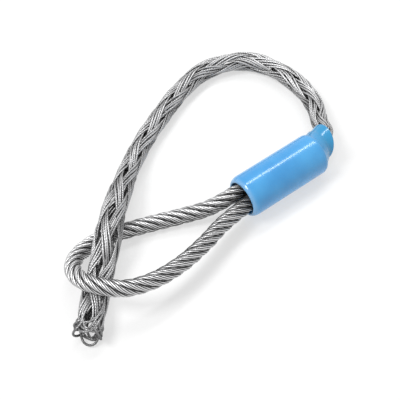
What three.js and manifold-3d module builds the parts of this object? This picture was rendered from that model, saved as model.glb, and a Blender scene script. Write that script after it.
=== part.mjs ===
// Cable pulling grip: a woven wire sock and a wire rope eye, joined in one pressed ferrule.
// Millimetres, Z up. The grip lies on the floor, with the origin under the middle of its outline.
import * as THREE from "three";
import { mergeVertices } from "three/addons/utils/BufferGeometryUtils.js";
import Module from "manifold-3d";

const wasm = await Module();
wasm.setup();

// Clearance between pieces that touch on the real grip
const fitGap = 0.3;

// Wire rope of the eye: six strands laid right-handed round a core
const ropeDiameter = 8;
const ropeStrands = 6;
const ropeLayShare = 4.5;
const strandShare = 0.295;
const ropeStepsPerLay = 10;
const strandSides = 6;

// Pressed ferrule that grips the two rope ends and the gathered sock
const ferruleLength = 37.6;
const ferruleWall = 0.8;
const ferruleSetback = 7.1;
const ropeStraight = 6.1;
const ropeGripDepth = 24;
const sockGripDepth = 11;

// Plastic cover over the ferrule
const coverWall = 1.1;
const coverLipDrop = 2.2;
const coverLipEdge = 0.35;
const coverLipLength = 3.8;
const coverShoulderRadius = 4;
const coverShoulderTurn = 40;
const coverEndWall = 2.6;
const coverNeckLength = 3.2;
const coverNeckWall = 1.3;
const coverNeckRoom = 2.2;
const coverNeckFillet = 2.5;
const coverNeckShift = 2.4;
const coverNeckRise = 1.2;
const coverFlareLength = 2.6;
const coverFlareRise = 0.5;
const coverRimTilt = 0.3;
const coverRimYaw = 0.12;
const coverSegments = 32;

// Woven sock: four flat ribbons of wire, each going out, turning at the mouth and coming back
const ribbonCount = 4;
const ribbonPitch = 111;
const ribbonThickness = 0.9;
const ribbonFill = 0.93;
const ribbonTurnShare = 0.8;
const weaveRoom = 0.1;
const ribbonStepsPerCrossing = 3;
const sockNeckRadius = 3.25;
const sockNeckLean = 3.5;
const sockNeckEase = 1.6;
const sockNeckRise = 1;
const sockArmRadius = 4.0;
const sockMouthRadius = 5.45;
const sockArmStart = [20, 60];
const sockMouthStart = [190, 250];
const mouthLoopDepth = 8;
const mouthLoopSetback = [0.5, 1, 0, 3.6];
const mouthLoopSpread = [0, 0, 0, 1.6];
const mouthLoopNarrow = 0.2;
const mouthLoopReach = 36;
const mouthSpreadReach = 8.3;

// Where the sleeve lies: the middle of its rope mouth, and the way its axis points
const sleeveMouth = new THREE.Vector2(19.94, -1.03);
const sleeveTurn = THREE.MathUtils.degToRad(37);

// Free stretch of the eye, from one mouth of the sleeve round to the other
const eyeRoute = [
  [4.4, -4.1, 7.4], [-9, -7.2, 4.8], [-23, -11, 4.1], [-37, -15.7, 4.1],
  [-48.8, -21.3, 4.5], [-56.5, -30.6, 7], [-57.5, -40.9, 11.8], [-52.1, -49.2, 16],
  [-43.8, -53, 17.7], [-33, -54.2, 17.7], [-20.8, -49.8, 16.8], [-8.4, -40.3, 15.3],
  [2.5, -27.8, 13.4], [10.5, -16.8, 11.8],
];

// Free stretch of the sock, from the flared end of the sleeve to its open mouth
const sockRoute = [
  [62.5, 40.6, 10.6], [61, 47.4, 8.8], [60.1, 56.6, 6.8],
  [57.2, 67.7, 5.5], [50.4, 78, 5.2], [40.2, 87.2, 5.2], [27.5, 92.7, 5.2], [13.9, 91.7, 5.2],
  [1.1, 85.1, 5.2], [-9.7, 72.6, 5.2], [-18.6, 57.6, 5.3], [-27.3, 40.5, 5.4], [-33.8, 22.8, 6.6],
  [-37, 8, 10], [-39.6, -6, 13.6], [-41.2, -18, 15.2], [-42.9, -29, 13],
  [-44.7, -38.5, 8.8], [-46.4, -47.5, 6.9], [-47.7, -58, 6.7], [-48.7, -73, 6.7],
];

// Sizes that follow from the ones above
const ropeLay = ropeDiameter * ropeLayShare;
const strandRadius = (ropeDiameter * strandShare) / 2;
const strandHelixRadius = ropeDiameter / 2 - strandRadius;
const coreRadius = strandHelixRadius - strandRadius - fitGap;
const legOffset = ropeDiameter / 2 + fitGap / 2;
const ropeBoreHalfWidth = legOffset + ropeDiameter / 2 + fitGap;
const ropeBoreRadius = ropeDiameter / 2 + fitGap;
const ferruleRadius = ropeBoreHalfWidth + ferruleWall;
const coverInnerRadius = ferruleRadius + fitGap;
const coverRadius = coverInnerRadius + coverWall;
const restHeight = coverRadius * Math.cos(Math.PI / coverSegments);
const crossingSpacing = ribbonPitch / (2 * ribbonCount);
const weaveRise = (ribbonThickness + fitGap) / 2 + weaveRoom;
const sockSkin = weaveRise + ribbonThickness / 2;
const sockBoreRadius = sockNeckRadius + sockSkin + fitGap;
const ferruleEnd = ferruleSetback + ferruleLength;
const bodyEnd = ferruleEnd + fitGap + coverEndWall;
const neckEnd = bodyEnd + coverNeckLength;
const rimEnd = neckEnd + coverFlareLength;
const neckInner = sockNeckRadius + sockSkin + coverNeckRoom;

// Galvanised wire, bare aluminium and glossy plastic
function finish(name, color, roughness, metalness) {
  return new THREE.MeshStandardMaterial({ name, color, roughness, metalness });
}
const ropeSteel = finish("rope_wire", 0xcdcdcf, 0.38, 0.9);
const coreSteel = finish("core_wire", 0xbababc, 0.38, 0.9);
const meshSteel = finish("mesh_wire", 0xc7c7c9, 0.38, 0.9);
const aluminium = finish("ferrule", 0xb4b8bb, 0.45, 1);
const plastic = finish("cover", 0x3f9be0, 0.22, 0);

// A point on the sleeve's axis, station mm from the rope mouth, moved sideways and up
function sleevePoint(station, sideways = 0, rise = 0) {
  const along = new THREE.Vector2(Math.cos(sleeveTurn), Math.sin(sleeveTurn));
  return new THREE.Vector3(
    sleeveMouth.x + along.x * station + along.y * sideways,
    sleeveMouth.y + along.y * station - along.x * sideways,
    restHeight + rise,
  );
}

const smoothStep = (value, [from, to]) => THREE.MathUtils.smoothstep(value, from, to);


function smoothCurve(points) {
  const curve = new THREE.CatmullRomCurve3(points, false, "centripetal");
  curve.arcLengthDivisions = 800;
  curve.updateArcLengths();
  return curve;
}

// Rope and sock are both laid round a centre line: s runs along it, angle round it, radius out from it.
// The angle is counted from the line's level side, so neither twists with the bends.
function wrapRound(curve) {
  const length = curve.getLength();
  const upright = new THREE.Vector3(0, 0, 1);
  const place = (s, angle, radius) => {
    const u = THREE.MathUtils.clamp(s / length, 0, 1);
    const point = curve.getPointAt(u);
    const tangent = curve.getTangentAt(u);
    point.addScaledVector(tangent, s - u * length);
    const side = new THREE.Vector3().crossVectors(tangent, upright).normalize();
    const up = new THREE.Vector3().crossVectors(side, tangent);
    return point
      .addScaledVector(side, radius * Math.cos(angle))
      .addScaledVector(up, radius * Math.sin(angle));
  };
  return { length, place };
}

// A closed solid from rows of points: a skin between the rows and a fan over each end
function solidFromRows(rows) {
  const sides = rows[0].length;
  const middle = (row) => row.reduce((sum, p) => sum.add(p), new THREE.Vector3()).divideScalar(sides);
  const points = [...rows.flat(), middle(rows[0]), middle(rows.at(-1))];
  const startCentre = points.length - 2;
  const endCentre = points.length - 1;
  const index = [];
  for (let side = 0; side < sides; side++) {
    const next = (side + 1) % sides;
    for (let row = 0; row < rows.length - 1; row++) {
      const here = row * sides;
      const there = here + sides;
      index.push(here + side, here + next, there + next, here + side, there + next, there + side);
    }
    const last = (rows.length - 1) * sides;
    index.push(startCentre, next, side, endCentre, last + side, last + next);
  }
  const geometry = new THREE.BufferGeometry().setFromPoints(points);
  geometry.setIndex(index);
  return geometry;
}

// Sweeps a section along a winding path round a centre line. pathAt gives s, angle, radius and the
// lean of the path away from the centre line; sectionAt gives pairs of across and out.
function windSolid(wrap, stops, pathAt, sectionAt) {
  const rows = stops.map((stop) => {
    const { s, angle, radius, lean } = pathAt(stop);
    return sectionAt(stop).map(([across, out]) =>
      wrap.place(
        s - across * Math.sin(lean),
        angle + (across * Math.cos(lean)) / radius,
        radius + out,
      ),
    );
  });
  return solidFromRows(rows);
}

function evenStops(from, to, count) {
  return Array.from({ length: count + 1 }, (_, i) => from + ((to - from) * i) / count);
}

// Wire rope eye

const eyeEnd = ferruleSetback + ropeGripDepth;
const legStart = ferruleSetback - ropeStraight;
const legStations = [eyeEnd, (eyeEnd + ferruleSetback) / 2, ferruleSetback, legStart];
const eyeCurve = smoothCurve([
  ...legStations.map((station) => sleevePoint(station, -legOffset)),
  ...eyeRoute.map((p) => new THREE.Vector3(...p)),
  ...legStations.toReversed().map((station) => sleevePoint(station, legOffset)),
]);
const eyeWrap = wrapRound(eyeCurve);
const eyeSteps = Math.round((eyeWrap.length / ropeLay) * ropeStepsPerLay);
const eyeStops = evenStops(0, eyeWrap.length, eyeSteps);

// The lay is right-handed: looking along the rope, the strands turn clockwise
function eyeStrand(number) {
  const start = (number * 2 * Math.PI) / ropeStrands;
  const lean = -Math.atan((2 * Math.PI * strandHelixRadius) / ropeLay);
  const section = evenStops(0, 2 * Math.PI, strandSides)
    .slice(0, -1)
    .map((turn) => [strandRadius * Math.cos(turn), strandRadius * Math.sin(turn)]);
  return windSolid(
    eyeWrap,
    eyeStops,
    (s) => ({ s, angle: start - (2 * Math.PI * s) / ropeLay, radius: strandHelixRadius, lean }),
    () => section,
  );
}

function eyeCore() {
  const section = evenStops(2 * Math.PI, 0, strandSides).slice(0, -1);
  const stops = evenStops(0, eyeWrap.length, Math.round(eyeSteps / 2));
  return solidFromRows(stops.map((s) => section.map((turn) => eyeWrap.place(s, turn, coreRadius))));
}

// Woven sock

const sockStart = ferruleEnd - sockGripDepth;
const sockCurve = smoothCurve([
  ...[sockStart, (sockStart + ferruleEnd) / 2, ferruleEnd - 1].map((station) => sleevePoint(station)),
  ...evenStops(0, 1, 4).map(leaningPoint),
  ...sockRoute.map((p) => new THREE.Vector3(...p)),
]);
const sockWrap = wrapRound(sockCurve);

// The sock bends to one side as it passes through the end of the cover
function leaningPoint(share) {
  const lean = share ** sockNeckEase;
  return sleevePoint(ferruleEnd + share * (rimEnd - ferruleEnd), -sockNeckLean * lean, sockNeckRise * lean);
}

function sockRadius(s) {
  const arm = (sockArmRadius - sockNeckRadius) * smoothStep(s, sockArmStart);
  const mouth = (sockMouthRadius - sockArmRadius) * smoothStep(s, sockMouthStart);
  return sockNeckRadius + arm + mouth;
}

// Travel runs from minus reach to plus reach along one ribbon, with its turn at the mouth at zero.
// The ribbon rises over every other one that it meets, and dips under the rest.
const ribbonReach = Math.sqrt((sockWrap.length + mouthLoopDepth) ** 2 - mouthLoopDepth ** 2);

const nearLoop = (travel, reach) => 1 - smoothStep(Math.abs(travel), [0, reach]);

function ribbonPath(number, travel) {
  const turn = sockWrap.length + mouthLoopDepth - Math.hypot(travel, mouthLoopDepth);
  const s = turn - mouthLoopSetback[number - 1] * nearLoop(travel, mouthLoopReach);
  const angle = (2 * Math.PI * number) / ribbonCount + (2 * Math.PI * travel) / ribbonPitch;
  const middle = sockRadius(s) + mouthLoopSpread[number - 1] * nearLoop(travel, mouthSpreadReach);
  const turning = THREE.MathUtils.clamp(-travel / (ribbonTurnShare * crossingSpacing), -1, 1);
  const weave = Math.cos((Math.PI * travel) / crossingSpacing) * turning;
  const run = -travel / Math.hypot(travel, mouthLoopDepth);
  const lean = Math.atan2((2 * Math.PI * middle) / ribbonPitch, run);
  return { s, angle, radius: middle + weaveRise * weave, lean };
}

// Flat six-sided section, narrow where the sock is narrow, so that no ribbon meets the next crossing
function ribbonSection(number, travel) {
  const { s } = ribbonPath(number, travel);
  const lean = Math.atan((2 * Math.PI * sockRadius(s)) / ribbonPitch);
  const fill = ribbonFill * (1 - mouthLoopNarrow * nearLoop(travel, mouthLoopReach));
  const halfWidth = (fill * crossingSpacing * Math.sin(lean)) / 2;
  const half = ribbonThickness / 2;
  return [
    [-halfWidth, 0], [-halfWidth / 2, -half], [halfWidth / 2, -half],
    [halfWidth, 0], [halfWidth / 2, half], [-halfWidth / 2, half],
  ];
}

function meshRibbon(number) {
  const step = crossingSpacing / ribbonStepsPerCrossing;
  const count = Math.floor(ribbonReach / step);
  const stops = [-ribbonReach, ...evenStops(-count * step, count * step, 2 * count), ribbonReach];
  return windSolid(
    sockWrap,
    stops,
    (travel) => ribbonPath(number, travel),
    (travel) => ribbonSection(number, travel),
  );
}

// Ferrule and cover, both turned about the sleeve's axis

// Stands a turned or extruded shape, made along +Z from the mouth, in the sleeve's place
function layInSleeve(geometry) {
  const along = new THREE.Vector3(Math.cos(sleeveTurn), Math.sin(sleeveTurn), 0);
  const up = new THREE.Vector3(0, 0, 1);
  const side = new THREE.Vector3().crossVectors(up, along);
  const turn = new THREE.Matrix4().makeBasis(side, up, along);
  turn.setPosition(sleevePoint(0));
  return geometry.applyMatrix4(turn);
}

// Turns a closed outline of [station, radius] about the sleeve's axis, with a flat side down
function turned(outline) {
  const profile = outline.map(([station, radius]) => new THREE.Vector2(radius, station));
  const geometry = new THREE.LatheGeometry([...profile, profile[0].clone()], coverSegments);
  geometry.rotateY(Math.PI / coverSegments);
  geometry.rotateX(Math.PI / 2);
  return geometry;
}

// Carries the end of the cover up and to the sock's side, and tips its rim towards the other side
function leanNeck(geometry) {
  const position = geometry.attributes.position;
  const shiftEnd = (neckEnd + rimEnd) / 2;
  for (let i = 0; i < position.count; i++) {
    const station = position.getZ(i);
    const tip = coverRimTilt * position.getY(i) + coverRimYaw * position.getX(i);
    const lean = smoothStep(station, [ferruleEnd + fitGap, shiftEnd]);
    position.setX(i, position.getX(i) + coverNeckShift * lean);
    position.setY(i, position.getY(i) + coverNeckRise * lean);
    position.setZ(i, station + tip * smoothStep(station, [bodyEnd, rimEnd]));
  }
  return geometry;
}

// Points of a round corner in an outline, turning from one angle to another in degrees
function corner(station, radius, size, from, to, steps) {
  return evenStops(from, to, steps).map((degrees) => {
    const turn = THREE.MathUtils.degToRad(degrees);
    return [station + size * Math.cos(turn), radius + size * Math.sin(turn)];
  });
}

function toManifold(geometry) {
  const bare = geometry.clone();
  for (const name of Object.keys(bare.attributes)) {
    if (name !== "position") bare.deleteAttribute(name);
  }
  const merged = mergeVertices(bare, 1e-4);
  return new wasm.Manifold(
    new wasm.Mesh({
      numProp: 3,
      vertProperties: new Float32Array(merged.attributes.position.array),
      triVerts: new Uint32Array(merged.index.array),
    }),
  );
}

function fromManifold(solid) {
  const mesh = solid.getMesh();
  const geometry = new THREE.BufferGeometry();
  geometry.setAttribute("position", new THREE.BufferAttribute(mesh.vertProperties, mesh.numProp));
  geometry.setIndex(new THREE.BufferAttribute(mesh.triVerts, 1));
  return geometry;
}

function ferrule() {
  const chamfer = ferruleWall / 2;
  const body = turned([
    [ferruleSetback, 0],
    [ferruleSetback, ferruleRadius - chamfer],
    [ferruleSetback + chamfer, ferruleRadius],
    [ferruleEnd - chamfer, ferruleRadius],
    [ferruleEnd, ferruleRadius - chamfer],
    [ferruleEnd, 0],
  ]);
  const slot = new THREE.Shape();
  slot.absarc(legOffset, 0, ropeBoreRadius, -Math.PI / 2, Math.PI / 2);
  slot.absarc(-legOffset, 0, ropeBoreRadius, Math.PI / 2, (3 * Math.PI) / 2);
  const slotDepth = ropeGripDepth + strandRadius / 2 + 2 * fitGap;
  const deep = { depth: slotDepth, bevelEnabled: false, curveSegments: 8 };
  const ropeBore = new THREE.ExtrudeGeometry(slot, deep);
  ropeBore.translate(0, 0, ferruleSetback - fitGap);
  const sockBore = new THREE.CylinderGeometry(sockBoreRadius, sockBoreRadius, ferruleLength, 24);
  sockBore.rotateX(Math.PI / 2);
  sockBore.translate(0, 0, ferruleEnd - ferruleLength / 2 + fitGap);
  const bored = toManifold(body).subtract(toManifold(ropeBore)).subtract(toManifold(sockBore));
  return layInSleeve(fromManifold(bored));
}

function cover() {
  const lip = coverLipDrop - coverLipEdge;
  const neckRadius = neckInner + coverNeckWall;
  const flareRadius = neckRadius + coverFlareRise;
  const rim = coverNeckWall / 2;
  const shoulder = coverShoulderRadius;
  const fillet = coverNeckFillet;
  const turn = coverShoulderTurn;
  const roundedLip = ([along, radius]) => [(1 + along / lip) * coverLipLength, radius];
  return layInSleeve(leanNeck(turned([
    ...corner(coverLipEdge, coverRadius - lip, coverLipEdge, 270, 180, 2),
    ...corner(0, coverRadius - lip, lip, 165, 90, 4).map(roundedLip),
    ...corner(bodyEnd - shoulder, coverRadius - shoulder, shoulder, 90, turn, 4),
    ...corner(neckEnd, neckRadius + fillet, fillet, 180 + turn, 270, 3),
    [neckEnd + coverFlareLength * 0.4, neckRadius + coverFlareRise * 0.4],
    ...corner(rimEnd - rim, flareRadius - rim, rim, 110, -70, 5),
    [neckEnd + coverFlareLength * 0.4, neckInner + coverFlareRise * 0.4],
    [neckEnd, neckInner],
    [bodyEnd - coverEndWall, neckInner],
    [bodyEnd - coverEndWall, coverInnerRadius],
    [ferruleSetback - fitGap, coverInnerRadius],
  ])));
}

// The grip, with each piece under its own name

const grip = new THREE.Group();

function addPiece(name, geometry, material) {
  const mesh = new THREE.Mesh(geometry, material);
  mesh.name = name;
  grip.add(mesh);
}

for (let number = 1; number <= ropeStrands; number++) {
  addPiece(`eye_strand_${number}`, eyeStrand(number), ropeSteel);
}
addPiece("eye_core", eyeCore(), coreSteel);
addPiece("ferrule", ferrule(), aluminium);
addPiece("cover", cover(), plastic);
for (let number = 1; number <= ribbonCount; number++) {
  addPiece(`mesh_ribbon_${number}`, meshRibbon(number), meshSteel);
}

// The origin goes under the middle of the outline
grip.updateMatrixWorld(true);
const middle = new THREE.Box3().setFromObject(grip).getCenter(new THREE.Vector3());
grip.position.set(-middle.x, -middle.y, 0);

export default grip;
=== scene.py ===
# %% [markdown]
# # A cable pulling grip
#
# The grip is a long woven wire sock that closes on a cable, and a wire rope eye that is pulled.
# One pressed ferrule under a blue plastic cover holds both. The CAD model gives each piece its
# place and size. This lesson adds what a solid leaves out: every wire, the twist of the strands
# and the finish of steel and plastic.

# %% Load the frame
import math

import bmesh
import bpy
import numpy as np
from mathutils import Matrix, Vector


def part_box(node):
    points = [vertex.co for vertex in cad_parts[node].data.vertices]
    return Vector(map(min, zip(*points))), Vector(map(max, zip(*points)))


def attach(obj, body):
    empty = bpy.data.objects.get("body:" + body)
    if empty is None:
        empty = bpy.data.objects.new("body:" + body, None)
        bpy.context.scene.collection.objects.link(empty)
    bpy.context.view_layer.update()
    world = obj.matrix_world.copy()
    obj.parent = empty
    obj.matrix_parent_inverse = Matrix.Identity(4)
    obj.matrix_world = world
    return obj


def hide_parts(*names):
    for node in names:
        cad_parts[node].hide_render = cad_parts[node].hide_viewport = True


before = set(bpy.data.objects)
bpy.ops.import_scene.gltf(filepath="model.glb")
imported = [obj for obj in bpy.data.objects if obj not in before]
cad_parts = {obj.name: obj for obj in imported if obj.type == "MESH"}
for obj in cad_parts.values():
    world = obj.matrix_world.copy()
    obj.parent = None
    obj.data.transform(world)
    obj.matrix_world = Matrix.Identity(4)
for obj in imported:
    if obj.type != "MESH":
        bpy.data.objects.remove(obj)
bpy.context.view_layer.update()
MM = 0.001
print("CAD nodes:", len(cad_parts))

# %% [markdown]
# ## Centre lines
#
# The rope and the sock are both wound round a smooth line. A line could be drawn by hand as a
# Blender curve, but the wires have to follow the very line that the solids follow. So the same
# few points are repeated here, and the same spline runs through them: a centripetal Catmull-Rom
# curve, which never loops or overshoots between points that lie close together.

# %% Sizes of the ferrule, its cover and their place, in millimetres
FIT_GAP = 0.3
ROPE_DIAMETER = 8.0
ROPE_STRAIGHT = 6.1
ROPE_GRIP_DEPTH = 24.0
SOCK_GRIP_DEPTH = 11.0
FERRULE_LENGTH = 37.6
FERRULE_WALL = 0.8
FERRULE_SETBACK = 7.1
COVER_WALL = 1.1
COVER_FACETS = 32
COVER_END_WALL = 2.6
COVER_NECK_LENGTH = 3.2
COVER_FLARE_LENGTH = 2.6
SLEEVE_MOUTH = (19.94, -1.03)
SLEEVE_TURN = math.radians(37)

LEG_OFFSET = ROPE_DIAMETER / 2 + FIT_GAP / 2
FERRULE_RADIUS = LEG_OFFSET + ROPE_DIAMETER / 2 + FIT_GAP + FERRULE_WALL
COVER_INNER = FERRULE_RADIUS + FIT_GAP
COVER_RADIUS = COVER_INNER + COVER_WALL
REST_HEIGHT = COVER_RADIUS * math.cos(math.pi / COVER_FACETS)
FERRULE_END = FERRULE_SETBACK + FERRULE_LENGTH
BODY_END = FERRULE_END + FIT_GAP + COVER_END_WALL
NECK_END = BODY_END + COVER_NECK_LENGTH
RIM_END = NECK_END + COVER_FLARE_LENGTH
ALONG = Vector((math.cos(SLEEVE_TURN), math.sin(SLEEVE_TURN), 0))
BESIDE = Vector((math.sin(SLEEVE_TURN), -math.cos(SLEEVE_TURN), 0))


def sleeve_point(station, sideways=0.0, rise=0.0):
    """A point on the sleeve's axis, station mm from its mouth, moved sideways and up."""
    place = Vector((*SLEEVE_MOUTH, REST_HEIGHT + rise))
    return place + ALONG * station + BESIDE * sideways


# The solids were moved so that the origin lies under their middle: the ferrule tells how far
low, high = (Vector(corner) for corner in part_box("ferrule"))
shift = (low + high) / 2 / MM - sleeve_point((FERRULE_SETBACK + FERRULE_END) / 2)
shift.z = 0
print("moved by", [round(v, 3) for v in shift])


# %% Routes of the rope and the sock
EYE_ROUTE = [
    (4.4, -4.1, 7.4), (-9, -7.2, 4.8), (-23, -11, 4.1), (-37, -15.7, 4.1),
    (-48.8, -21.3, 4.5), (-56.5, -30.6, 7), (-57.5, -40.9, 11.8), (-52.1, -49.2, 16),
    (-43.8, -53, 17.7), (-33, -54.2, 17.7), (-20.8, -49.8, 16.8), (-8.4, -40.3, 15.3),
    (2.5, -27.8, 13.4), (10.5, -16.8, 11.8),
]
SOCK_ROUTE = [
    (62.5, 40.6, 10.6), (61, 47.4, 8.8), (60.1, 56.6, 6.8),
    (57.2, 67.7, 5.5), (50.4, 78, 5.2), (40.2, 87.2, 5.2), (27.5, 92.7, 5.2), (13.9, 91.7, 5.2),
    (1.1, 85.1, 5.2), (-9.7, 72.6, 5.2), (-18.6, 57.6, 5.3), (-27.3, 40.5, 5.4), (-33.8, 22.8, 6.6),
    (-37, 8, 10), (-39.6, -6, 13.6), (-41.2, -18, 15.2), (-42.9, -29, 13),
    (-44.7, -38.5, 8.8), (-46.4, -47.5, 6.9), (-47.7, -58, 6.7), (-48.7, -73, 6.7),
]


# %% A smooth line through points
def smooth_line(points, samples=60):
    """Centripetal Catmull-Rom spline, as dense points with the length up to each."""
    p = [np.array(q, float) for q in points]
    p = [2 * p[0] - p[1], *p, 2 * p[-1] - p[-2]]
    dense = []
    for a, b, c, d in zip(p, p[1:], p[2:], p[3:]):
        ab, bc, cd = (max(np.linalg.norm(v) ** 0.5, 1e-4) for v in (b - a, c - b, d - c))
        start = ((b - a) / ab - (c - a) / (ab + bc) + (c - b) / bc) * bc
        end = ((c - b) / bc - (d - b) / (bc + cd) + (d - c) / cd) * bc
        t = np.linspace(0, 1, samples, endpoint=False)[:, None]
        square = 3 * (c - b) - 2 * start - end
        cube = 2 * (b - c) + start + end
        dense.append(b + start * t + square * t**2 + cube * t**3)
    dense = np.vstack([*dense, p[-2]])
    length = np.r_[0, np.cumsum(np.linalg.norm(np.diff(dense, axis=0), axis=1))]
    return dense, length


class CentreLine:
    """A line that things are wound round: s along it, an angle round it, a radius out from it."""

    def __init__(self, points):
        self.points, self.at = smooth_line(points)
        self.length = self.at[-1]

    def middle(self, s):
        inside = np.clip(s, 0, self.length)
        return np.column_stack([np.interp(inside, self.at, self.points[:, i]) for i in range(3)])

    def place(self, s, angle, radius, nudge=0.4):
        inside = np.clip(s, nudge, self.length - nudge)
        tangent = self.middle(inside + nudge) - self.middle(inside - nudge)
        tangent /= np.linalg.norm(tangent, axis=1)[:, None]
        side = np.cross(tangent, (0, 0, 1))
        side /= np.linalg.norm(side, axis=1)[:, None]
        up = np.cross(side, tangent)
        beyond = (s - np.clip(s, 0, self.length))[:, None]
        out = side * np.cos(angle)[:, None] + up * np.sin(angle)[:, None]
        return self.middle(s) + tangent * beyond + out * np.broadcast_to(radius, s.shape)[:, None]


def smooth_step(value, span):
    t = np.clip((value - span[0]) / (span[1] - span[0]), 0, 1)
    return t * t * (3 - 2 * t)


# %% The line of the eye, straight inside the cover at both ends
leg_end = FERRULE_SETBACK + ROPE_GRIP_DEPTH
leg_start = FERRULE_SETBACK - ROPE_STRAIGHT
leg_stations = [leg_end, (leg_end + FERRULE_SETBACK) / 2, FERRULE_SETBACK, leg_start]
eye_line = CentreLine(
    [sleeve_point(station, -LEG_OFFSET) for station in leg_stations]
    + EYE_ROUTE
    + [sleeve_point(station, LEG_OFFSET) for station in reversed(leg_stations)]
)


# %% The line of the sock, which leans to one side as it leaves the cover
SOCK_NECK_LEAN = 3.5
SOCK_NECK_EASE = 1.6
SOCK_NECK_RISE = 1.0
sock_start = FERRULE_END - SOCK_GRIP_DEPTH


def leaning_point(share):
    lean = share**SOCK_NECK_EASE
    station = FERRULE_END + share * (RIM_END - FERRULE_END)
    return sleeve_point(station, -SOCK_NECK_LEAN * lean, SOCK_NECK_RISE * lean)


sock_line = CentreLine(
    [sleeve_point(s) for s in (sock_start, (sock_start + FERRULE_END) / 2, FERRULE_END - 1)]
    + [leaning_point(share) for share in (0, 0.25, 0.5, 0.75, 1)]
    + SOCK_ROUTE
)
print(f"rope of the eye {eye_line.length:.0f} mm, sock {sock_line.length:.0f} mm")

# %% [markdown]
# ## The camera
#
# The photograph looks down on the grip at a steep angle with a long lens. The camera comes
# before the pieces, so that each of them can be judged in the real view as soon as it exists.

# %% Camera
CAMERA_HEIGHT = math.radians(55)
CAMERA_REACH = 456 * MM
CAMERA_TARGET = (0, 0, 8)
PIXELS_OF_FOCUS = 950
IMAGE_WIDTH = 400
SENSOR = 36

camera_data = bpy.data.cameras.new("camera")
camera_data.sensor_width = SENSOR
camera_data.lens = PIXELS_OF_FOCUS / IMAGE_WIDTH * SENSOR
camera_data.clip_start = 0.01
camera = bpy.data.objects.new("camera", camera_data)
bpy.context.scene.collection.objects.link(camera)
bpy.context.scene.camera = camera
target = (Vector(CAMERA_TARGET) + shift) * MM
view_line = Vector((0, -math.cos(CAMERA_HEIGHT), math.sin(CAMERA_HEIGHT)))
camera.location = target + CAMERA_REACH * view_line
camera.rotation_euler = (math.pi / 2 - CAMERA_HEIGHT, 0, 0)
print("camera at", [round(v, 3) for v in camera.location])

# %% [markdown]
# ## Twisted wires along a line
#
# A strand is a bundle of fine wires with a twist. It could be built wire by wire, but from
# outside only the outer layer shows, so one tube with a lobed section does as well: a lobe for
# each outer wire, and a twist that turns the section along the way. Blender sweeps such a
# section itself, as the bevel of a curve, and tilt is its twist.
#
# The sweep also knows something that a shader can't find out later: how deep each spot of a
# strand lies between its neighbours. That is kept on the mesh as a number called exposed, from
# which the wire materials paint shade into their colour.

# %% A lobed section
def lobed_section(name, lobes, radius, depth, points_per_lobe):
    """A closed curve with one round bump for each outer wire; sizes in millimetres."""
    curve = bpy.data.curves.new(name, "CURVE")
    spline = curve.splines.new("POLY")
    count = lobes * points_per_lobe
    spline.points.add(count - 1)
    for i, point in enumerate(spline.points):
        turn = 2 * math.pi * i / count
        bump = abs(math.sin(lobes * turn / 2 + math.pi / (2 * points_per_lobe)))
        reach = (radius - depth * (1 - bump)) * MM
        point.co = (reach * math.cos(turn), reach * math.sin(turn), 0, 1)
    spline.use_cyclic_u = True
    section = bpy.data.objects.new(name, curve)
    bpy.context.scene.collection.objects.link(section)
    return section


# %% A swept strand
def sweep(name, path, section, twist_per_mm):
    """A mesh of the section swept along a path of points in millimetres, turning as it goes."""
    curve = bpy.data.curves.new(name, "CURVE")
    curve.dimensions = "3D"
    curve.bevel_mode = "OBJECT"
    curve.bevel_object = section
    curve.use_fill_caps = True
    curve.twist_mode = "MINIMUM"
    spline = curve.splines.new("POLY")
    spline.points.add(len(path) - 1)
    points = (np.asarray(path) + np.array(shift)) * MM
    spline.points.foreach_set("co", np.column_stack([points, np.ones(len(points))]).ravel())
    run = np.r_[0, np.cumsum(np.linalg.norm(np.diff(path, axis=0), axis=1))]
    spline.points.foreach_set("tilt", run * twist_per_mm)
    swept = bpy.data.objects.new(name, curve)
    bpy.context.scene.collection.objects.link(swept)
    bpy.context.view_layer.update()
    depsgraph = bpy.context.evaluated_depsgraph_get()
    mesh = bpy.data.meshes.new_from_object(swept.evaluated_get(depsgraph))
    bpy.data.objects.remove(swept)
    bpy.data.curves.remove(curve)
    return mesh


# %% How open each spot of a strand lies
EXPOSED_CURVE = 0.6


def store_exposure(mesh, path, middles, half, lift):
    """Keeps on each vertex how open it lies, from 0 in a groove to 1 on top.

    half is the bundle's radius. lift tells how high the bundle rides: 1 on top, 0 in the weave,
    -1 in deep shade. The sweep's two caps come after its rings.
    """
    rings = len(path)
    sides = len(mesh.vertices) // (rings + 2)
    place = np.empty(3 * len(mesh.vertices))
    mesh.vertices.foreach_get("co", place)
    place = place[: 3 * rings * sides].reshape(rings, sides, 3) / MM - np.array(shift)
    outward = path - middles
    outward /= np.linalg.norm(outward, axis=1)[:, None]
    height = np.einsum("rvi,ri->rv", place - path[:, None], outward) / half
    # painted shade: a low share darkens the colour, in grooves, under crossings and where lift is low
    share = np.clip(height, 0, 1) ** EXPOSED_CURVE * (1 + np.clip(lift, -1, 1)[:, None]) / 2
    caps = np.zeros(2 * sides)
    exposed = mesh.attributes.new("exposed", "FLOAT", "POINT")
    exposed.data.foreach_set("value", np.r_[share.ravel(), caps])


# %% Finish a piece
def finish_piece(name, meshes, node):
    """Joins meshes into one piece that stands for a CAD node."""
    shape = bmesh.new()
    for mesh in meshes:
        shape.from_mesh(mesh)
        bpy.data.meshes.remove(mesh)
    bmesh.ops.remove_doubles(shape, verts=shape.verts, dist=1e-6)
    bmesh.ops.recalc_face_normals(shape, faces=shape.faces)
    mesh = bpy.data.meshes.new(name)
    shape.to_mesh(mesh)
    shape.free()
    mesh.shade_smooth()
    piece = bpy.data.objects.new(name, mesh)
    bpy.context.scene.collection.objects.link(piece)
    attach(piece, "root")
    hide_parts(node)
    print(name, len(mesh.polygons), "faces, UV maps:", [layer.name for layer in mesh.uv_layers])
    return piece
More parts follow.
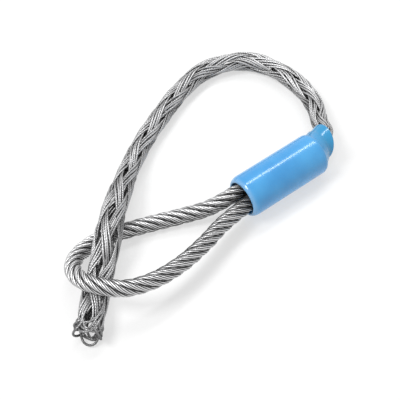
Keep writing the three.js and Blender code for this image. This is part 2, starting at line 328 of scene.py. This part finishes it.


# %% [markdown]
# ## The eye
#
# The rope has six strands laid to the right round a core. Each strand's own wires are laid the
# same way, so they run steeply across the strand. A tube with a drawn bump map would be quicker,
# but its edge would stay straight, where a real rope's edge is scalloped. So each strand is swept
# by itself, and both twists are real. Where it goes into the cover, the rope is painted darker as
# shade.

# %% Strands of the eye
ROPE_STRANDS = 6
ROPE_LAY = 4.5 * ROPE_DIAMETER
STRAND_DIAMETER = 2.78
STRAND_WIRES = 8
STRAND_WIRE_LAY = 21.0
STRAND_GROOVE = 0.34
STRAND_LOBE_POINTS = 4
ROPE_STEPS = 330
MOUTH_SHADE = (-3.0, 12.0)
strand_helix = (ROPE_DIAMETER - STRAND_DIAMETER) / 2
strand_section = lobed_section(
    "strand_section", STRAND_WIRES, STRAND_DIAMETER / 2, STRAND_GROOVE, STRAND_LOBE_POINTS
)
rope_steps = np.linspace(0, eye_line.length, ROPE_STEPS)
to_mouth = np.minimum(rope_steps, eye_line.length - rope_steps) - leg_end
# painted shade: the strands darken towards the cover's mouth
lift = 2 * smooth_step(to_mouth, MOUTH_SHADE) - 1
eye_strands = []
for number in range(1, ROPE_STRANDS + 1):
    start = number * 2 * math.pi / ROPE_STRANDS
    path = eye_line.place(rope_steps, start - 2 * math.pi * rope_steps / ROPE_LAY, strand_helix)
    mesh = sweep("strand", path, strand_section, 2 * math.pi / STRAND_WIRE_LAY)
    store_exposure(mesh, path, eye_line.middle(rope_steps), STRAND_DIAMETER / 2, lift)
    node = f"eye_strand_{number}"
    eye_strands.append(finish_piece(f"laid_strand_{number}", [mesh], node))

# %% [markdown]
# ## The sock
#
# Each ribbon of the sock is four thin strands side by side. They run along the sock, turn in a
# loop at its mouth and come back the other way round. Going over and under is one cosine: the
# radius swells at one crossing and shrinks at the next. Each strand meets the crossing ribbon a
# little earlier or later than its neighbour, so its cosine is shifted by its own place.
#
# A real sock is never quite even, so each strand strays a little from its lane, and at the mouth
# the four loops turn at their own depth and swing a little to their own side.

# %% The sock's ribbons, as in the solids
RIBBON_COUNT = 4
RIBBON_PITCH = 111.0
RIBBON_TURN_SHARE = 0.8
SOCK_NECK_RADIUS = 3.25
SOCK_ARM_RADIUS = 4.0
SOCK_MOUTH_RADIUS = 5.45
SOCK_ARM_START = (20.0, 60.0)
SOCK_MOUTH_START = (190.0, 250.0)
MOUTH_LOOP_DEPTH = 8.0
MOUTH_LOOP_SETBACK = (0.5, 1.0, 0.0, 3.6)
MOUTH_LOOP_SPREAD = (0.0, 0.0, 0.0, 1.6)
MOUTH_LOOP_NARROW = 0.2
MOUTH_LOOP_REACH = 36.0
MOUTH_SPREAD_REACH = 8.3
CROSSING = RIBBON_PITCH / (2 * RIBBON_COUNT)
ribbon_reach = math.sqrt((sock_line.length + MOUTH_LOOP_DEPTH) ** 2 - MOUTH_LOOP_DEPTH**2)


def sock_radius(s):
    arm = (SOCK_ARM_RADIUS - SOCK_NECK_RADIUS) * smooth_step(s, SOCK_ARM_START)
    mouth = (SOCK_MOUTH_RADIUS - SOCK_ARM_RADIUS) * smooth_step(s, SOCK_MOUTH_START)
    return SOCK_NECK_RADIUS + arm + mouth


def near_loop(travel, reach):
    """One at the turn of a ribbon, falling to zero at reach mm of travel from it."""
    return 1 - smooth_step(np.abs(travel), (0, reach))


print(f"a ribbon runs {2 * ribbon_reach:.0f} mm out and back, with a crossing every {CROSSING:.1f} mm")


# %% One strand of a ribbon
MESH_WIRE = 1.15
MESH_LANE = 1.14
MESH_LANES = (-1.5, -0.5, 0.5, 1.5)
MESH_LOBES = 6
MESH_LAY = 8.0
MESH_GROOVE = 0.12
MESH_LOBE_POINTS = 3
MESH_STEP = 0.95
WEAVE_RISE = 0.6
LANE_REACH = 22.0
LANE_SETBACK = (0.0, 2.4, 0.8, 4.0)
LANE_SWING = (0.0, 0.25, -0.2, -0.35)
LOOP_STEP = 0.35
LOOP_ROUND = 0.32
LOOP_ROUND_REACH = 4.0
LOOP_FAN = 0.25
STRAY = 0.22
STRAY_LENGTH = 7.0
STRAY_PHASE = 2.4
# painted shade over the loops at the sock's open end
SOCK_MOUTH_SHADE = 1.0
mesh_section = lobed_section(
    "mesh_section", MESH_LOBES, MESH_WIRE / 2, MESH_GROOVE, MESH_LOBE_POINTS
)


def strand_travel():
    """Stops along a ribbon, with its turn at the mouth at zero and finer steps near it."""
    fine = np.arange(-MOUTH_LOOP_REACH, MOUTH_LOOP_REACH, LOOP_STEP)
    coarse = np.linspace(MOUTH_LOOP_REACH, ribbon_reach, int(ribbon_reach / MESH_STEP))
    return np.r_[-coarse[::-1], fine[1:], coarse]


def ribbon_strand(number, lane):
    """A mesh of one strand: lane is its place across the ribbon."""
    order = (MESH_LANES.index(lane) + number) % len(MESH_LANES)
    travel = strand_travel()
    to_turn = np.hypot(travel, MOUTH_LOOP_DEPTH)
    loop = near_loop(travel, MOUTH_LOOP_REACH)
    fanned = near_loop(travel, LANE_REACH)

    # The ribbon's middle: how far along the sock, how far round it and how far out
    s = sock_line.length + MOUTH_LOOP_DEPTH - to_turn
    s = s - MOUTH_LOOP_SETBACK[number - 1] * loop - LANE_SETBACK[order] * fanned
    angle = 2 * math.pi * number / RIBBON_COUNT + 2 * math.pi * travel / RIBBON_PITCH
    angle += (LANE_SWING[order] + LOOP_ROUND * np.tanh(travel / LOOP_ROUND_REACH)) * fanned
    middle = sock_radius(s) + MOUTH_LOOP_SPREAD[number - 1] * near_loop(travel, MOUTH_SPREAD_REACH)

    # The strand's own lane, at right angles to the way that the ribbon runs
    run = -travel / to_turn
    slope = 2 * math.pi * middle / RIBBON_PITCH
    lean = np.arctan2(slope, run)
    across = lane * MESH_LANE * (1 - MOUTH_LOOP_NARROW * loop + LOOP_FAN * fanned)
    across = across + STRAY * np.sin(travel / STRAY_LENGTH + STRAY_PHASE * order + number)
    along = s - across * np.sin(lean)

    # Over and under
    shifted = travel - np.sign(travel) * across / (2 * np.sin(np.arctan(slope))) * np.abs(run)
    turning = np.clip(-travel / (CROSSING * RIBBON_TURN_SHARE), -1, 1)
    wave = np.cos(math.pi * shifted / CROSSING) * turning
    radius = middle + WEAVE_RISE * wave

    path = sock_line.place(along, angle + across * np.cos(lean) / radius, radius)
    mesh = sweep("lane", path, mesh_section, 2 * math.pi / MESH_LAY)
    # painted shade: darker where a strand dips under a crossing and over the loops at the sock's open
    # end
    lift = (1 + wave) / 2 - SOCK_MOUTH_SHADE * fanned
    store_exposure(mesh, path, sock_line.middle(along), MESH_WIRE / 2, lift)
    return mesh


# %% All ribbons of the sock
mesh_ribbons = []
for number in range(1, RIBBON_COUNT + 1):
    lanes = [ribbon_strand(number, lane) for lane in MESH_LANES]
    node = f"mesh_ribbon_{number}"
    mesh_ribbons.append(finish_piece(f"woven_ribbon_{number}", lanes, node))

for section in (strand_section, mesh_section):
    bpy.data.objects.remove(section)

# %% [markdown]
# ## The cover
#
# The cover is a plastic sleeve that hides the ferrule. It could start as a cylinder with bevelled
# ends, but a turned shape is easier to keep true: its outline is drawn once and spun about the
# sleeve's axis. The CAD solid has flat facets; here the spin has enough steps to look round, and
# the rolled lip and the flared end get true arcs.
#
# Two numbers on the mesh, neck and lip, mark the narrow neck, where painted shade deepens the
# plastic's own tint, and the rolled lip, where its thin edge is paler under a painted highlight.

# %% Cover outline
COVER_LIP_DROP = 2.2
COVER_LIP_EDGE = 0.35
COVER_LIP_LENGTH = 3.8
COVER_SHOULDER = 4.0
COVER_SHOULDER_TURN = 40
COVER_NECK_WALL = 1.3
COVER_NECK_ROOM = 2.2
COVER_NECK_FILLET = 2.5
COVER_FLARE_RISE = 0.5
RIBBON_SKIN = 1.15
NECK_INNER = SOCK_NECK_RADIUS + RIBBON_SKIN + COVER_NECK_ROOM
FLARE_CURVE = ((0.2, 0.12), (0.4, 0.36))
FLARE_INSIDE = 0.4


def arc(station, radius, size, start, end, steps):
    """Points of an arc in an outline, turning from one angle to another in degrees."""
    turns = [math.radians(start + (end - start) * i / steps) for i in range(steps + 1)]
    return [(station + size * math.cos(t), radius + size * math.sin(t)) for t in turns]


def cover_outline():
    """The wall's closed outline as pairs of station and radius, outside first, then the inside."""
    lip = COVER_LIP_DROP - COVER_LIP_EDGE
    neck = NECK_INNER + COVER_NECK_WALL
    flare = neck + COVER_FLARE_RISE
    rim = COVER_NECK_WALL / 2
    turn = COVER_SHOULDER_TURN
    lip_arc = arc(0, COVER_RADIUS - lip, lip, 170, 90, 12)
    return [
        *arc(COVER_LIP_EDGE, COVER_RADIUS - lip, COVER_LIP_EDGE, 270, 180, 5),
        *[((1 + along / lip) * COVER_LIP_LENGTH, radius) for along, radius in lip_arc],
        *arc(BODY_END - COVER_SHOULDER, COVER_RADIUS - COVER_SHOULDER, COVER_SHOULDER, 90, turn, 10),
        *arc(NECK_END, neck + COVER_NECK_FILLET, COVER_NECK_FILLET, 180 + turn, 270, 9),
        *[
            (NECK_END + COVER_FLARE_LENGTH * along, neck + COVER_FLARE_RISE * out)
            for along, out in FLARE_CURVE
        ],
        *arc(RIM_END - rim, flare - rim, rim, 110, -70, 12),
        (NECK_END + COVER_FLARE_LENGTH * FLARE_INSIDE, NECK_INNER + COVER_FLARE_RISE * FLARE_INSIDE),
        (NECK_END, NECK_INNER),
        (BODY_END - COVER_END_WALL, NECK_INNER),
        (BODY_END - COVER_END_WALL, COVER_INNER),
        (FERRULE_SETBACK - FIT_GAP, COVER_INNER),
    ]


# %% Cover, spun and leaned
SPIN_STEPS = 96
COVER_NECK_SHIFT = 2.4
COVER_NECK_RISE = 1.2
COVER_RIM_TILT = 0.3
COVER_RIM_YAW = 0.12
LIP_START = 0.3


def lean_neck(shape):
    """Carries the end of the cover up and to the sock's side, and tips its rim."""
    neck = shape.verts.layers.float.new("neck")
    lip = shape.verts.layers.float.new("lip")
    for vert in shape.verts:
        place = vert.co / MM - shift - sleeve_point(0)
        station = place.dot(ALONG)
        lean = float(smooth_step(station, (FERRULE_END + FIT_GAP, (NECK_END + RIM_END) / 2)))
        tip = COVER_RIM_TILT * place.z - COVER_RIM_YAW * place.dot(BESIDE)
        tip *= float(smooth_step(station, (BODY_END, RIM_END)))
        up = Vector((0, 0, COVER_NECK_RISE))
        vert.co += (ALONG * tip + (up - BESIDE * COVER_NECK_SHIFT) * lean) * MM
        # the neck number places the painted shade of the neck, the lip number the painted highlight of
        # the lip
        vert[neck] = smooth_step(station, (BODY_END - COVER_SHOULDER, NECK_END))
        vert[lip] = 1 - smooth_step(station, (LIP_START, COVER_LIP_LENGTH))


def spun_cover():
    shape = bmesh.new()
    outline = [
        shape.verts.new((sleeve_point(station) + shift + Vector((0, 0, radius))) * MM)
        for station, radius in cover_outline()
    ]
    ring = [shape.edges.new(pair) for pair in zip(outline, outline[1:] + outline[:1])]
    bmesh.ops.spin(
        shape, geom=outline + ring, cent=(sleeve_point(0) + shift) * MM, axis=ALONG,
        angle=2 * math.pi, steps=SPIN_STEPS, use_merge=True, use_duplicate=False,
    )
    bmesh.ops.remove_doubles(shape, verts=shape.verts, dist=1e-6)
    lean_neck(shape)
    mesh = bpy.data.meshes.new("cover")
    shape.to_mesh(mesh)
    shape.free()
    return mesh


cover = finish_piece("shrunk_cover", [spun_cover()], "cover")

# %% [markdown]
# ## Materials
#
# A material is a tree of nodes. It could be wired node by node, but shader maths reads best as
# plain sums, so a small class wraps a node's socket and turns each operator into a Math node.
# Everything else is one method that adds a node by its type.

# %% Shader maths
class Value:
    """A number that varies over the surface: operators on it add Math nodes."""

    def __init__(self, shader, socket):
        self.shader, self.socket = shader, socket

    def _math(self, operation, *values):
        return self.shader.add("ShaderNodeMath", {"operation": operation}, *values)

    def __add__(self, other): return self._math("ADD", self, other)
    def __radd__(self, other): return self._math("ADD", other, self)
    def __sub__(self, other): return self._math("SUBTRACT", self, other)
    def __rsub__(self, other): return self._math("SUBTRACT", other, self)
    def __mul__(self, other): return self._math("MULTIPLY", self, other)
    def __rmul__(self, other): return self._math("MULTIPLY", other, self)
    def __pow__(self, other): return self._math("POWER", self, other)

    def absolute_sine(self):
        return self._math("ABSOLUTE", self._math("SINE", self))


class Shader:
    """A material's node tree, built one expression at a time."""

    def __init__(self, name):
        self.material = bpy.data.materials.new(name)
        self.material.use_nodes = True
        self.tree = self.material.node_tree
        self.surface = self.tree.nodes["Principled BSDF"]
        self.own = Value(self, self.surface.outputs["BSDF"])

    def link(self, value, socket):
        if isinstance(value, Value):
            self.tree.links.new(value.socket, socket)
        else:
            socket.default_value = value

    def add(self, kind, settings=None, *values, output=0, **named):
        """Adds a node with its settings; values go to its inputs by place or by name."""
        node = self.tree.nodes.new(kind)
        for key, setting in (settings or {}).items():
            if key == "stops":
                while len(node.color_ramp.elements) < len(setting):
                    node.color_ramp.elements.new(0.5)
                for element, (place, colour) in zip(node.color_ramp.elements, setting):
                    element.position, element.color = place, colour
            else:
                setattr(node, key, setting)
        for index, value in enumerate(values):
            self.link(value, node.inputs[index])
        for key, value in named.items():
            self.link(value, node.inputs[key])
        return Value(self, node.outputs[output])

    def set(self, socket, value):
        self.link(value, self.surface.inputs[socket])

    def finish(self, value):
        self.link(value, self.tree.nodes["Material Output"].inputs["Surface"])


def grey(level):
    return (level, level, level * 1.01, 1)


# %% [markdown]
# ### Galvanised wire
#
# Drawn and galvanised wire is a soft grey metal. It is never even: its tone varies in patches.
# Shade and light are painted into its colour: dark in the grooves between the wires, a little
# lighter on the crests. The sweep left a UV map that runs once round the strand, so the grooves are
# found by counting lobes in it. The painted shade in the deeper gaps between the strands comes from
# the number called exposed.

# %% Wire material
CREST_LEVEL = 0.8
WIRE_LEVEL = 0.55


def wire_material(name, lobes, lobe_points, bright, dark, groove, depth):
    """groove sets the painted shade in the grooves between wires, depth the painted shade in the gaps
    between strands.
    """
    shader = Shader(name)
    position = shader.add("ShaderNodeTexCoord", output="Object")
    sweep_map = shader.add("ShaderNodeTexCoord", output="UV")
    around = shader.add("ShaderNodeSeparateXYZ", {}, sweep_map, output=1)
    exposed = shader.add("ShaderNodeAttribute", {"attribute_name": "exposed"}, output="Fac")
    crest = (around * (math.pi * lobes) - math.pi / (2 * lobe_points)).absolute_sine()
    patches = shader.add("ShaderNodeTexNoise", {}, Vector=position, Scale=260.0, Detail=3.0)
    fine = shader.add("ShaderNodeTexNoise", {}, Vector=position, Scale=2600.0, Detail=2.0)
    # painted shade: darker in the grooves between wires and the gaps between strands, lighter on crest
    # tops
    light = groove * (crest - CREST_LEVEL) + depth * (exposed - 1)
    light = light + 0.3 * patches + 0.2 * fine + WIRE_LEVEL
    colour = shader.add(
        "ShaderNodeValToRGB", {"stops": [(0.1, grey(dark)), (0.85, grey(bright))]}, light
    )
    shader.set("Base Color", colour)
    shader.set("Metallic", 1.0)
    shader.set("Roughness", 0.55 - 0.14 * crest + 0.1 * patches)
    return shader.material


rope_steel = wire_material(
    "rope_steel", STRAND_WIRES, STRAND_LOBE_POINTS, bright=0.64, dark=0.03, groove=1.6, depth=0.5
)
mesh_steel = wire_material(
    "mesh_steel", MESH_LOBES, MESH_LOBE_POINTS, bright=0.64, dark=0.05, groove=0.6, depth=0.5
)
for steel in (rope_steel, mesh_steel):
    print(steel.name, len(steel.node_tree.nodes), "nodes")


# %% [markdown]
# ### Blue plastic
#
# The cover is a smooth, glossy, slightly waxy plastic: a cloudy diffuse colour under a clear
# coat, with a faint ripple from moulding. At the narrow neck its own tint is deepened by painted
# shade, and the rolled lip is paler, partly its thin edge and partly a painted highlight.

# %% Plastic material
BLUE = [(0.35, (0.042, 0.300, 0.660, 1)), (0.7, (0.068, 0.380, 0.76, 1))]
# the neck's own tint, deepened as painted shade of the narrow neck and flare
NECK_TINT_AND_SHADE = (0.010, 0.265, 0.500, 1)
NECK_TINT_AND_SHADE_SHARE = 0.7
# the lip's thin paler edge with a painted highlight on the roll
LIP_PALE_AND_HIGHLIGHT = (0.45, 0.62, 0.78, 1)
LIP_PALE_AND_HIGHLIGHT_SHARE = 0.3


def plastic_material():
    shader = Shader("blue_plastic")
    position = shader.add("ShaderNodeTexCoord", output="Object")
    clouds = shader.add("ShaderNodeTexNoise", {}, Vector=position, Scale=70.0, Detail=2.0)
    colour = shader.add("ShaderNodeValToRGB", {"stops": BLUE}, clouds)
    neck = shader.add("ShaderNodeAttribute", {"attribute_name": "neck"}, output="Fac")
    lip = shader.add("ShaderNodeAttribute", {"attribute_name": "lip"}, output="Fac")
    # painted shade over the neck's own tint
    colour = shader.add("ShaderNodeMixRGB", {}, neck * NECK_TINT_AND_SHADE_SHARE, colour, NECK_TINT_AND_SHADE)
    # painted highlight on the rolled lip, over its paler edge
    colour = shader.add("ShaderNodeMixRGB", {}, lip ** 3 * LIP_PALE_AND_HIGHLIGHT_SHARE, colour, LIP_PALE_AND_HIGHLIGHT)
    ripple = shader.add("ShaderNodeTexNoise", {}, Vector=position, Scale=160.0, Detail=1.0)
    shader.set("Base Color", colour)
    shader.set("Roughness", 0.18 + 0.1 * clouds)
    shader.set("Normal", shader.add(
        "ShaderNodeBump", {}, Strength=0.05, Distance=0.001, Height=ripple))
    shader.surface.inputs["Coat Weight"].default_value = 0.3
    shader.surface.inputs["Coat Roughness"].default_value = 0.07
    return shader.material


blue_plastic = plastic_material()
print(blue_plastic.name, len(blue_plastic.node_tree.nodes), "nodes")

# %% [markdown]
# ### Ferrule and core
#
# The pressed aluminium ferrule and the rope's core lie deep in the cover and between the strands,
# and show only as a glint in a gap. Plain patchy metal is enough for them, and they keep the
# shape of the solids.


# %% Dull metal
def dull_metal(name, dark, bright):
    shader = Shader(name)
    position = shader.add("ShaderNodeTexCoord", output="Object")
    patches = shader.add("ShaderNodeTexNoise", {}, Vector=position, Scale=180.0, Detail=4.0)
    shader.set("Base Color", shader.add(
        "ShaderNodeValToRGB", {"stops": [(0.3, grey(dark)), (0.7, grey(bright))]}, patches))
    shader.set("Metallic", 1.0)
    shader.set("Roughness", 0.35 + 0.2 * patches)
    return shader.material


aluminium = dull_metal("pressed_aluminium", 0.42, 0.6)
core_steel = dull_metal("core_steel", 0.05, 0.12)
print("ferrule in", aluminium.name, "and core in", core_steel.name)


# %% Dress every piece
def dress(piece, material):
    piece.data.materials.clear()
    piece.data.materials.append(material)


for strand in eye_strands:
    dress(strand, rope_steel)
for ribbon in mesh_ribbons:
    dress(ribbon, mesh_steel)
dress(cover, blue_plastic)
for node, material in (("eye_core", core_steel), ("ferrule", aluminium)):
    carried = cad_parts[node]
    if not carried.material_slots:
        carried.data.materials.append(None)
    for holder in carried.material_slots:
        holder.material = material
print("dressed", len(eye_strands) + len(mesh_ribbons) + 1, "new pieces and 2 CAD pieces")

# %% [markdown]
# ## Light and floor
#
# A product photograph on white is lit by large soft lamps, and bright metal shows what stands
# round it. The floor is pale and keeps the grip's shadow, and the world is white where the
# camera or a mirror-like surface looks at it, but only soft light elsewhere.

# %% Floor
FLOOR_SIZE = 6.0
FLOOR_DROP = 0.0004
FLOOR_GLOW = 0.6
SEEN_RAYS = ("Is Camera Ray", "Is Glossy Ray", "Is Transmission Ray")


def seen_directly(shader):
    """One where the camera, a mirror or clear stuff looks at the surface, and zero elsewhere."""
    camera_ray, glossy_ray, transmission_ray = (
        shader.add("ShaderNodeLightPath", output=ray) for ray in SEEN_RAYS
    )
    return camera_ray + glossy_ray + transmission_ray


shape = bmesh.new()
bmesh.ops.create_grid(shape, x_segments=1, y_segments=1, size=FLOOR_SIZE / 2)
floor_mesh = bpy.data.meshes.new("floor")
shape.to_mesh(floor_mesh)
shape.free()
floor = bpy.data.objects.new("floor", floor_mesh)
floor.location.z = -FLOOR_DROP
bpy.context.scene.collection.objects.link(floor)
floor_shader = Shader("floor")
floor_shader.set("Base Color", (0.93, 0.93, 0.93, 1))
floor_shader.set("Roughness", 0.9)
white = floor_shader.add("ShaderNodeEmission", {}, (1, 1, 1, 1), 1.0)
seen = seen_directly(floor_shader)
both = floor_shader.add("ShaderNodeMixShader", {}, FLOOR_GLOW * seen, floor_shader.own, white)
floor_shader.finish(both)
floor.data.materials.append(floor_shader.material)
print(f"floor {FLOOR_SIZE:.0f} m wide")

# %% World
SKY_LIGHT = 0.42
world = bpy.data.worlds.new("studio")
bpy.context.scene.world = world
world.use_nodes = True
background = world.node_tree.nodes["Background"]
background.inputs["Color"].default_value = (1, 1, 1, 1)
rays = world.node_tree.nodes.new("ShaderNodeLightPath")
strength = background.inputs["Strength"]
for ray in SEEN_RAYS:
    added = world.node_tree.nodes.new("ShaderNodeMath")
    added.operation = "MULTIPLY_ADD"
    world.node_tree.links.new(rays.outputs[ray], added.inputs[0])
    world.node_tree.links.new(added.outputs[0], strength)
    added.inputs[1].default_value = 1 - SKY_LIGHT
    strength = added.inputs[2]
strength.default_value = SKY_LIGHT
print("sky at", SKY_LIGHT, "and white where it is seen")


# %% Lamps
def soft_lamp(name, place, size, watts, long_way=(1, 0, 0)):
    """A lamp that looks at the origin, with its first size along long_way as nearly as it can."""
    data = bpy.data.lights.new(name, "AREA")
    data.shape = "RECTANGLE"
    data.size, data.size_y = size
    data.energy = watts
    lamp = bpy.data.objects.new(name, data)
    away = Vector(place).normalized()
    across = away.cross(Vector(long_way)).normalized()
    lamp.matrix_world = Matrix((across.cross(away), across, away)).transposed().to_4x4()
    lamp.location = place
    bpy.context.scene.collection.objects.link(lamp)
    print(f"lamp {name}: {size[0]} by {size[1]} m, {watts} W")


soft_lamp("strip", (0.09, 0.5, 0.86), (0.9, 0.14), 4.2, ALONG)
soft_lamp("side", (-0.5, -0.15, 0.88), (0.35, 0.35), 6.2)

# %% [markdown]
# ## The end
#
# The picture keeps the plain Standard view, so that white is white.

# %% The end
view = bpy.context.scene.view_settings
view.view_transform = "Standard"
